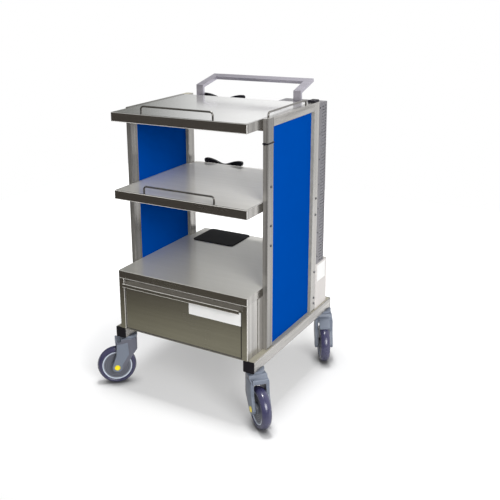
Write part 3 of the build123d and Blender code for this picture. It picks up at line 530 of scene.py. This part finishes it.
def caster_place(caster):
    """Frame of a caster: local X trails, local Y is the axle, local Z is up from the floor."""
    pivot = Vector(JOINTS[f"swivel_{caster}"]["pos_m"])
    hub = Vector(JOINTS[f"wheel_{caster}_spin"]["pos_m"])
    trail = Vector((hub.x - pivot.x, hub.y - pivot.y, 0.0)).normalized()
    axle = Vector((0, 0, 1)).cross(trail)
    turn = Matrix((trail, axle, Vector((0, 0, 1)))).transposed().to_4x4()
    return Matrix.Translation((pivot.x, pivot.y, 0.0)) @ turn


def wheel_place(caster):
    """Matrix at the wheel's centre whose local Z is the axle."""
    joint = JOINTS[f"wheel_{caster}_spin"]
    return axis_place(joint["pos_m"], joint["axis"])


# ---- pieces -------------------------------------------------------------------------------------
class TROLLEY_OT_finishes(bpy.types.Operator):
    """Give every node of the frame its finish, and paint light and shade on faces turned certain ways"""

    bl_idname = "trolley.finishes"
    bl_label = "Finishes"

    def execute(self, context):
        MATERIALS.update(make_materials(context.scene.trolley_finish))
        for name, finish in node_finishes().items():
            mesh = NODES[name].data
            mesh.materials.clear()
            mesh.materials.append(MATERIALS[finish])
        # Painted light and shade: the faces that look forward get the front copy of the steel.
        for name in ("top_shelf", "mid_shelf", "cabinet_top", "cabinet_body"):
            shade_faces(name, "front_face_shade", lambda normal: normal.y < -0.9)
        # Painted shade: the trays' right side faces get the darker copy.
        for name in ("top_shelf", "mid_shelf", "cabinet_top"):
            shade_faces(name, "skirt_side", lambda normal: normal.x > 0.9)
        # Painted shade: the base rails' and rear posts' faces that look up or forward get the dull dark
        # copy.
        for name in ("base_rail_left", "base_rail_right", "post_rear_left", "post_rear_right"):
            shade_faces(name, "dull_shade", lambda normal: normal.z > 0.9 or normal.y < -0.9)
        # Painted shade: the front posts' side faces get the darker copy.
        for name in ("post_front_left", "post_front_right"):
            shade_faces(name, "post_side", lambda normal: abs(normal.x) > 0.9)
        # Painted shade: each fork's faces that look ahead or to the side get the darker hood copy.
        for caster in CASTERS:
            turn = caster_place(caster).to_3x3().inverted()
            shade_faces(f"fork_{caster}", "hood",
                         lambda normal: (turn @ normal).x < -0.15 or abs((turn @ normal).y) > 0.9)
        return {"FINISHED"}


class TROLLEY_OT_wheel_rings(bpy.types.Operator):
    """Pale edge rings on the wheels, and dark turned rings that paint the shade of grooves in the hubs"""

    bl_idname = "trolley.wheel_rings"
    bl_label = "Wheel rings"

    def execute(self, context):
        for caster in CASTERS:
            place = wheel_place(caster)
            edge = bmesh.new()
            turned = bmesh.new()
            for face in (-1, 1):
                add_lathe(edge, in_metres(EDGE_RING, face=face), place, steps=72)
                for radius in TURNED_RADII:
                    add_lathe(turned, in_metres(TURNED_RING, radius, face), place)
            add_piece(f"edge_ring_{caster}", edge, f"wheel_{caster}", "ring", smooth=40)
            add_piece(f"hub_rings_{caster}", turned, f"wheel_{caster}", "hub_groove_shade", smooth=25)
        return {"FINISHED"}


class TROLLEY_OT_swivel_rings(bpy.types.Operator):
    """Dark rings that paint the shade of the gap between the casters' housings and forks"""

    bl_idname = "trolley.swivel_rings"
    bl_label = "Swivel rings"

    def execute(self, context):
        for caster in CASTERS:
            bm = bmesh.new()
            # Painted shade: a dark ring in the gap under each housing.
            add_lathe(bm, in_metres(SWIVEL_GAP_RING), caster_place(caster), steps=48)
            add_piece(f"swivel_gap_shade_{caster}", bm, f"caster_{caster}", "dark", smooth=40)
        return {"FINISHED"}


class TROLLEY_OT_fork_plates(bpy.types.Operator):
    """Raised leg faces on both sides of the casters' forks"""

    bl_idname = "trolley.fork_plates"
    bl_label = "Fork plates"

    def execute(self, context):
        for caster in CASTERS:
            bm = bmesh.new()
            for face in (-1, 1):
                add_leg_face(bm, caster_place(caster) @ Matrix.Diagonal((1.0, face, 1.0, 1.0))
                             @ Matrix.Translation((0, (FORK_HALF - SUNK) * MM, 0)))
            add_piece(f"fork_plates_{caster}", bm, f"caster_{caster}", "caster", smooth=40)
        return {"FINISHED"}


class TROLLEY_OT_pedal_grips(bpy.types.Operator):
    """Grip ribs on the brake pedals"""

    bl_idname = "trolley.pedal_grips"
    bl_label = "Pedal grips"

    def execute(self, context):
        slope = (Matrix.Translation(Vector(PEDAL_EDGE) * MM)
                 @ Matrix.Rotation(math.atan2(PEDAL_RISE, PEDAL_RUN), 4, "Y"))
        half_x, half_y = (half * MM for half in GRIP_HALF)
        for caster in BRAKED:
            bm = bmesh.new()
            for step in range(GRIP_COUNT):
                x = (GRIP_FIRST + GRIP_PITCH * step) * MM
                add_box(bm, (x - half_x, -half_y, -0.8 * MM), (x + half_x, half_y, 0.7 * MM), 0.35 * MM)
            bm.transform(caster_place(caster) @ slope)
            add_piece(f"pedal_grip_{caster}", bm, f"pedal_{caster}", "caster")
        return {"FINISHED"}


class TROLLEY_OT_post_screws(bpy.types.Operator):
    """Socket screws in the outer faces of the posts"""

    bl_idname = "trolley.post_screws"
    bl_label = "Post screws"

    def execute(self, context):
        radius = context.scene.trolley_detail.screw_radius
        bm = bmesh.new()
        for side, sign in (("left", -1), ("right", 1)):
            for post, (behind, heights) in POST_SCREWS.items():
                low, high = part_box(f"post_{post}_{side}")
                x = high[0] if sign > 0 else low[0]
                for z in heights:
                    add_screw_head(bm, (x, low[1] + behind * MM, z * MM), (sign, 0, 0), radius)
        piece = add_piece("post_screws", bm, "chassis", "screw", smooth=35)
        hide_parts("frame_screws")
        return {"FINISHED"}


class TROLLEY_OT_cable_tie(bpy.types.Operator):
    """Cable tie round the right front post, with its head and cut end"""

    bl_idname = "trolley.cable_tie"
    bl_label = "Cable tie"

    def execute(self, context):
        z = context.scene.trolley_detail.tie_height
        low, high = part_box("post_front_right")
        gap = TIE_GAP * MM
        reach = gap + TIE_THICK * MM
        half = TIE_HALF * MM
        bm = bmesh.new()
        outer_low = (low[0] - reach, low[1] - reach)
        outer_high = (high[0] + reach, high[1] + reach)
        for first, last in (
                (outer_low, (outer_high[0], low[1] - gap)),
                ((outer_low[0], high[1] + gap), outer_high),
                (outer_low, (low[0] - gap, outer_high[1])),
                ((high[0] + gap, outer_low[1]), outer_high)):
            add_box(bm, (*first, z - half), (*last, z + half), 0.3 * MM)
        head = low[0] + 3 * MM
        tail = low[0] + 4.5 * MM
        front = low[1] - 5 * MM
        add_box(bm, (head, front, z - 3 * MM), (head + 6 * MM, low[1], z + 3 * MM), 0.7 * MM)
        add_box(bm, (tail, front - 2 * MM, z - half), (tail + TIE_THICK * MM, front, z + half), 0.3 * MM)
        add_piece("cable_tie", bm, "chassis", "black")
        return {"FINISHED"}


class TROLLEY_OT_louvres(bpy.types.Operator):
    """Slanted blades behind the column's slots, its screws and its blank side plate"""

    bl_idname = "trolley.louvres"
    bl_label = "Column louvres"

    def execute(self, context):
        low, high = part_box("column_vent_panel")
        size = (BLADE_WIDTH * MM, BLADE_LENGTH * MM, context.scene.trolley_detail.blade_thickness, 1.0)
        x, y = high[0] - BLADE_DEPTH * MM, (low[1] + high[1]) / 2
        blades = bmesh.new()
        for step in range(BLADE_COUNT):
            z = (BLADE_FIRST + BLADE_PITCH * step) * MM
            bmesh.ops.create_cube(blades, size=1.0, matrix=(
                Matrix.Translation((x, y, z)) @ Matrix.Rotation(BLADE_TILT, 4, "Y") @ Matrix.Diagonal(size)))
        add_piece("louvre_blades", blades, "chassis", "blade")
        screws = bmesh.new()
        for step in range(COLUMN_SCREW_COUNT):
            z = (COLUMN_SCREW_FIRST + COLUMN_SCREW_PITCH * step) * MM
            add_screw_head(screws, (high[0], low[1] - COLUMN_SCREW_INSET * MM, z), (1, 0, 0),
                           COLUMN_SCREW_RADIUS * MM)
        add_piece("column_screws", screws, "chassis", "screw", smooth=35)
        front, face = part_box("service_box")[0][1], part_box("service_box")[1][0]
        plate = bmesh.new()
        add_box(plate, (face, front + PLATE_LOW[0] * MM, PLATE_LOW[1] * MM),
                (face + PLATE_THICK * MM, front + PLATE_HIGH[0] * MM, PLATE_HIGH[1] * MM), 0.3 * MM)
        add_piece("service_plate", plate, "chassis", "label")
        return {"FINISHED"}


class TROLLEY_OT_sockets(bpy.types.Operator):
    """Rims of the sockets on the column's back, and dark dishes that paint the shade in their contact holes
    """

    bl_idname = "trolley.sockets"
    bl_label = "Sockets"

    def execute(self, context):
        low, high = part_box("socket_modules")
        x = (low[0] + high[0]) / 2
        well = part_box("socket_strip")[1][1]
        rims = bmesh.new()
        holes = bmesh.new()
        for step in range(SOCKET_COUNT):
            z = (SOCKET_MIDDLE + SOCKET_PITCH * (step - (SOCKET_COUNT - 1) / 2)) * MM
            add_lathe(rims, in_metres(SOCKET_RIM), axis_place((x, high[1], z), (0, 1, 0)), steps=48)
            for side in (-1, 1):
                # Painted shade: a shallow dark dish stands in for the shade inside each contact hole.
                place = axis_place((x + side * CONTACT_HALF * MM, well, z), (0, 1, 0))
                add_lathe(holes, in_metres(CONTACT_HOLE), place, steps=20, closed=False)
        add_piece("socket_rims", rims, "chassis", "socket", smooth=35)
        add_piece("socket_hole_shades", holes, "chassis", "dark", smooth=35)
        return {"FINISHED"}


class TROLLEY_OT_tray_stiffeners(bpy.types.Operator):
    """Folded stiffening channels under the trays"""

    bl_idname = "trolley.tray_stiffeners"
    bl_label = "Tray stiffeners"

    def execute(self, context):
        for tray in ("top_shelf", "mid_shelf"):
            low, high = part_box(tray)
            under = high[2] - TRAY_SHEET * MM
            left, right = low[0] + TRAY_WALL * MM, high[0] - TRAY_WALL * MM
            bm = bmesh.new()
            for part in STIFFENER_PARTS:
                y = low[1] + part * TRAY_DEPTH * MM
                half = STIFFENER_FLANGE_HALF * MM
                add_box(bm, (left, y - half, under - 1.2 * MM), (right, y + half, under), 0.3 * MM)
                half = STIFFENER_HALF * MM
                add_box(bm, (left, y - half, under - STIFFENER_DEEP * MM),
                        (right, y + half, under - 0.8 * MM), 2.5 * MM)
            add_piece(f"{tray}_stiffeners", bm, "chassis", "steel_x")
        return {"FINISHED"}


class TROLLEY_OT_edge_beads(bpy.types.Operator):
    """Rolled edges of the trays, stiles and drawer lip in a near-white steel that paints highlights, a dark
    strip that paints the shadow of the drawer's edge gap, and dark strips that paint the shade of the trays'
    seams
    """

    bl_idname = "trolley.edge_beads"
    bl_label = "Edge beads"

    def execute(self, context):
        radius = BEAD_RADIUS * MM
        trays = bmesh.new()
        for tray in ("top_shelf", "mid_shelf", "cabinet_top"):
            low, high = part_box(tray)
            y, z = low[1] + 0.6 * MM, low[2] + 0.4 * MM
            add_rod(trays, (low[0] + MM, y, z), (high[0] - MM, y, z), radius)
            corner = (high[0] - 0.5 * MM, low[1] + 0.5 * MM)
            add_rod(trays, (*corner, low[2] + MM), (*corner, high[2] - 2.5 * MM), radius)
        add_piece("tray_edge_beads", trays, "chassis", "bead", smooth=60)

        low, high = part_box("cabinet_body")
        stiles = bmesh.new()
        for x in STILE_BEADS:
            place = (x * MM, low[1] + 0.4 * MM)
            add_rod(stiles, (*place, low[2] + MM), (*place, high[2] - MM), radius)
        add_piece("stile_beads", stiles, "chassis", "bead", smooth=60)

        low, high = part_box("drawer_front")
        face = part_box("label_plate")[1][1]
        # Painted shadow: a dark strip on the drawer front's right edge stands in for the shadow in the gap
        # beside it.
        strip = bmesh.new()
        add_box(strip, (high[0] - STRIP_WIDTH * MM, face - 0.35 * MM, low[2] + MM),
                (high[0], face + 0.2 * MM, STRIP_TOP * MM), 0.1 * MM)
        add_piece("drawer_gap_shadow_strip", strip, "drawer", "dark")
        lip = bmesh.new()
        for z in LIP_BEADS:
            y = low[1] + 0.5 * MM
            add_rod(lip, (low[0] + MM, y, z * MM), (high[0] - MM, y, z * MM), LIP_BEAD_RADIUS * MM)
        add_piece("lip_beads", lip, "drawer", "bead", smooth=60)

        # Painted shade: thin dark strips on the trays' tops stand in for the shadow line along their seams.
        seams = bmesh.new()
        inset, side = SEAM_INSET * MM, SEAM_SIDE * MM
        for tray in ("top_shelf", "mid_shelf"):
            low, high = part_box(tray)
            bottom, top = high[2] - 0.1 * MM, high[2] + 0.12 * MM
            y = low[1] + inset
            add_box(seams, (low[0] + inset, y, bottom), (high[0] - inset, y + SEAM_FRONT * MM, top))
            for x in (low[0] + inset, high[0] - inset - side):
                add_box(seams, (x, y, bottom), (x + side, low[1] + SEAM_REACH * MM, top))
        add_piece("tray_seam_shades", seams, "chassis", "groove")
        return {"FINISHED"}


class TROLLEY_OT_stage(bpy.types.Operator):
    """Pale floor, soft lamps, world and camera"""

    bl_idname = "trolley.stage"
    bl_label = "Stage"

    def execute(self, context):
        scene = context.scene
        scene.view_settings.view_transform = "Standard"
        self.floor(scene)
        self.world(scene)
        self.lamp(scene, "key", place=(0.05, -0.05, 6.0), target=(0.0, 0.0, 0.0), size=0.55, power=205.0)
        self.lamp(scene, "fill", place=(2.2, -1.6, 1.5), target=(0.0, 0.0, 0.4), size=1.3, power=62.0)
        self.camera(scene)
        return {"FINISHED"}

    def floor(self, scene):
        """A pale floor that shows the object's shadow."""
        bm = bmesh.new()
        place = Matrix.Translation((0, 0.7, 0)) @ Matrix.Diagonal((2.2, 1.55, 1.0, 1.0))
        bmesh.ops.create_grid(bm, x_segments=1, y_segments=1, size=1.0, matrix=place)
        mesh = bpy.data.meshes.new("floor")
        bm.to_mesh(mesh)
        bm.free()
        mesh.materials.append(self.floor_finish())
        floor = bpy.data.objects.new("floor", mesh)
        scene.collection.objects.link(floor)

    def floor_finish(self):
        """Matt white that glows for the camera and reflections, and is dim to what mirrors it from ahead."""
        bench = NodeBench(bpy.data.materials.new("floor_white"))
        bench.set(Roughness=1.0, Specular_IOR_Level=0.0, Emission_Color=(1.0, 1.0, 1.0, 1.0))
        rays = bench.add("ShaderNodeLightPath")
        place = bench.add("ShaderNodeTexCoord").outputs["Object"]
        split = bench.add("ShaderNodeSeparateXYZ")
        bench.link(place, split.inputs["Vector"])
        # Painted contact shadow: the floor darkens close to what stands on it.
        contact = bench.add("ShaderNodeAmbientOcclusion", samples=12, Distance=0.05)
        clear = bench.spread(contact.outputs["AO"], low=0.1, high=1.0, start=0.4, end=0.9)
        bench.finish(bench.tint(clear, (0.03, 0.03, 0.04), (0.58, 0.58, 0.58)), "Base Color")
        # The glow grows with the distance from the middle, so that the shadow keeps its depth.
        distance = bench.add("ShaderNodeVectorMath", operation="LENGTH")
        bench.link(place, distance.inputs[0])
        glow = bench.spread(distance.outputs["Value"], low=0.28, high=0.8, start=0.405, end=0.95)
        seen = bench.maths("MAXIMUM", rays.outputs["Is Camera Ray"], rays.outputs["Is Glossy Ray"])
        strength = bench.maths("MULTIPLY", bench.maths("MULTIPLY", glow, seen), clear)
        bench.finish(strength, "Emission Strength")
        # The front sheets mirror a dim room where the floor lies ahead of the trolley.
        across = bench.spread(split.outputs["X"], low=0.0, high=0.6, start=-0.7, end=-0.15)
        along = bench.spread(split.outputs["Y"], low=0.0, high=0.5, start=-0.95, end=-0.6)
        room = bench.add("ShaderNodeEmission")
        dim = bench.tint(bench.maths("ADD", across, along), (0.095, 0.088, 0.058), (0.40, 0.39, 0.30))
        bench.link(dim, room.inputs["Color"])
        ahead = bench.spread(split.outputs["Y"], low=1.0, high=0.0, start=-0.45, end=-0.25)
        share = bench.maths("MULTIPLY", ahead, rays.outputs["Is Glossy Ray"])
        surface = bench.mixed(share, bench.shader.outputs["BSDF"], room.outputs["Emission"])
        bench.link(surface, bench.tree.nodes["Material Output"].inputs["Surface"])
        return bench.owner

    def world(self, scene):
        """White backdrop for the camera and for reflections that face it, and a dimmer room behind."""
        bench = NodeBench(bpy.data.worlds.new("studio"))
        bench.tree.nodes.clear()
        scene.world = bench.owner
        rays = bench.add("ShaderNodeLightPath")
        split = bench.add("ShaderNodeSeparateXYZ")
        bench.link(bench.add("ShaderNodeTexCoord").outputs["Generated"], split.inputs["Vector"])

        def light(colour, strength=1.0):
            node = bench.add("ShaderNodeBackground", Color=(*colour, 1.0), Strength=strength)
            return node.outputs["Background"]

        def step(source, start, end):
            return bench.spread(source, 0.0, 1.0, start, end, kind="SMOOTHSTEP")

        white = (1.0, 1.0, 1.0)
        front = bench.mixed(step(split.outputs["Z"], -0.15, 0.5), light((0.085, 0.075, 0.065)),
                            light((0.50, 0.49, 0.46)))
        bearing = bench.maths("DIVIDE", split.outputs["X"], split.outputs["Y"])
        back = bench.mixed(step(bearing, -0.80, -0.52), light((0.06, 0.065, 0.05)), light(white))
        mirrored = bench.mixed(step(split.outputs["Y"], -0.15, 0.3), front, back)
        ambient = bench.mixed(step(split.outputs["Z"], 0.25, 0.75), light(white, 0.6), light(white, 0.35))
        glossy = bench.maths("MAXIMUM", rays.outputs["Is Glossy Ray"], rays.outputs["Is Transmission Ray"])
        room = bench.mixed(glossy, ambient, mirrored)
        seen = bench.mixed(rays.outputs["Is Camera Ray"], room, light(white))
        bench.link(seen, bench.add("ShaderNodeOutputWorld").inputs["Surface"])

    def lamp(self, scene, name, place, target, size, power):
        """A soft square lamp aimed at a point."""
        light = bpy.data.lights.new(name, "AREA")
        light.size = size
        light.energy = power
        lamp = bpy.data.objects.new(name, light)
        scene.collection.objects.link(lamp)
        aim = Vector(target) - Vector(place)
        turn = aim.to_track_quat("-Z", "Y").to_matrix().to_4x4()
        lamp.matrix_world = Matrix.Translation(place) @ turn

    def camera(self, scene):
        """The camera, looking down at the trolley from its right front."""
        settings = scene.trolley_camera
        data = bpy.data.cameras.new("camera")
        data.sensor_width = 36.0
        data.lens = settings.lens
        data.shift_x, data.shift_y = settings.shift
        camera = bpy.data.objects.new("camera", data)
        scene.collection.objects.link(camera)
        camera.matrix_world = (Matrix.Translation(settings.position)
                               @ Matrix.Rotation(settings.azimuth, 4, "Z")
                               @ Matrix.Rotation(math.pi / 2 - settings.elevation, 4, "X")
                               @ Matrix.Rotation(settings.roll, 4, "Z"))
        scene.camera = camera


# ---- panel and registration ---------------------------------------------------------------------
PIECES = (
    TROLLEY_OT_finishes,
    TROLLEY_OT_wheel_rings,
    TROLLEY_OT_swivel_rings,
    TROLLEY_OT_fork_plates,
    TROLLEY_OT_pedal_grips,
    TROLLEY_OT_post_screws,
    TROLLEY_OT_cable_tie,
    TROLLEY_OT_louvres,
    TROLLEY_OT_sockets,
    TROLLEY_OT_tray_stiffeners,
    TROLLEY_OT_edge_beads,
    TROLLEY_OT_stage,
)


class TROLLEY_PT_sidebar(bpy.types.Panel):
    """The trolley's pieces and settings"""

    bl_idname = "TROLLEY_PT_sidebar"
    bl_label = "Equipment trolley"
    bl_space_type = "VIEW_3D"
    bl_region_type = "UI"
    bl_category = "Trolley"

    def draw(self, context):
        for group in SETTINGS:
            settings = getattr(context.scene, group)
            for name in settings.__annotations__:
                self.layout.prop(settings, name)
        for piece in PIECES:
            self.layout.operator(piece.bl_idname)


SETTINGS = {
    "trolley_finish": TrolleyFinishSettings,
    "trolley_detail": TrolleyDetailSettings,
    "trolley_camera": TrolleyCameraSettings,
}


def register():
    """Register the settings, the operators and the panel."""
    for name, settings in SETTINGS.items():
        bpy.utils.register_class(settings)
        setattr(bpy.types.Scene, name, bpy.props.PointerProperty(type=settings))
    for piece in PIECES:
        bpy.utils.register_class(piece)
    bpy.utils.register_class(TROLLEY_PT_sidebar)


def unregister():
    """Take back what register added."""
    bpy.utils.unregister_class(TROLLEY_PT_sidebar)
    for piece in reversed(PIECES):
        bpy.utils.unregister_class(piece)
    for name, settings in SETTINGS.items():
        delattr(bpy.types.Scene, name)
        bpy.utils.unregister_class(settings)


def main():
    """Make every piece in order."""
    register()
    for piece in PIECES:
        area, name = piece.bl_idname.split(".")
        getattr(getattr(bpy.ops, area), name)()


if __name__ == "__main__":
    main()
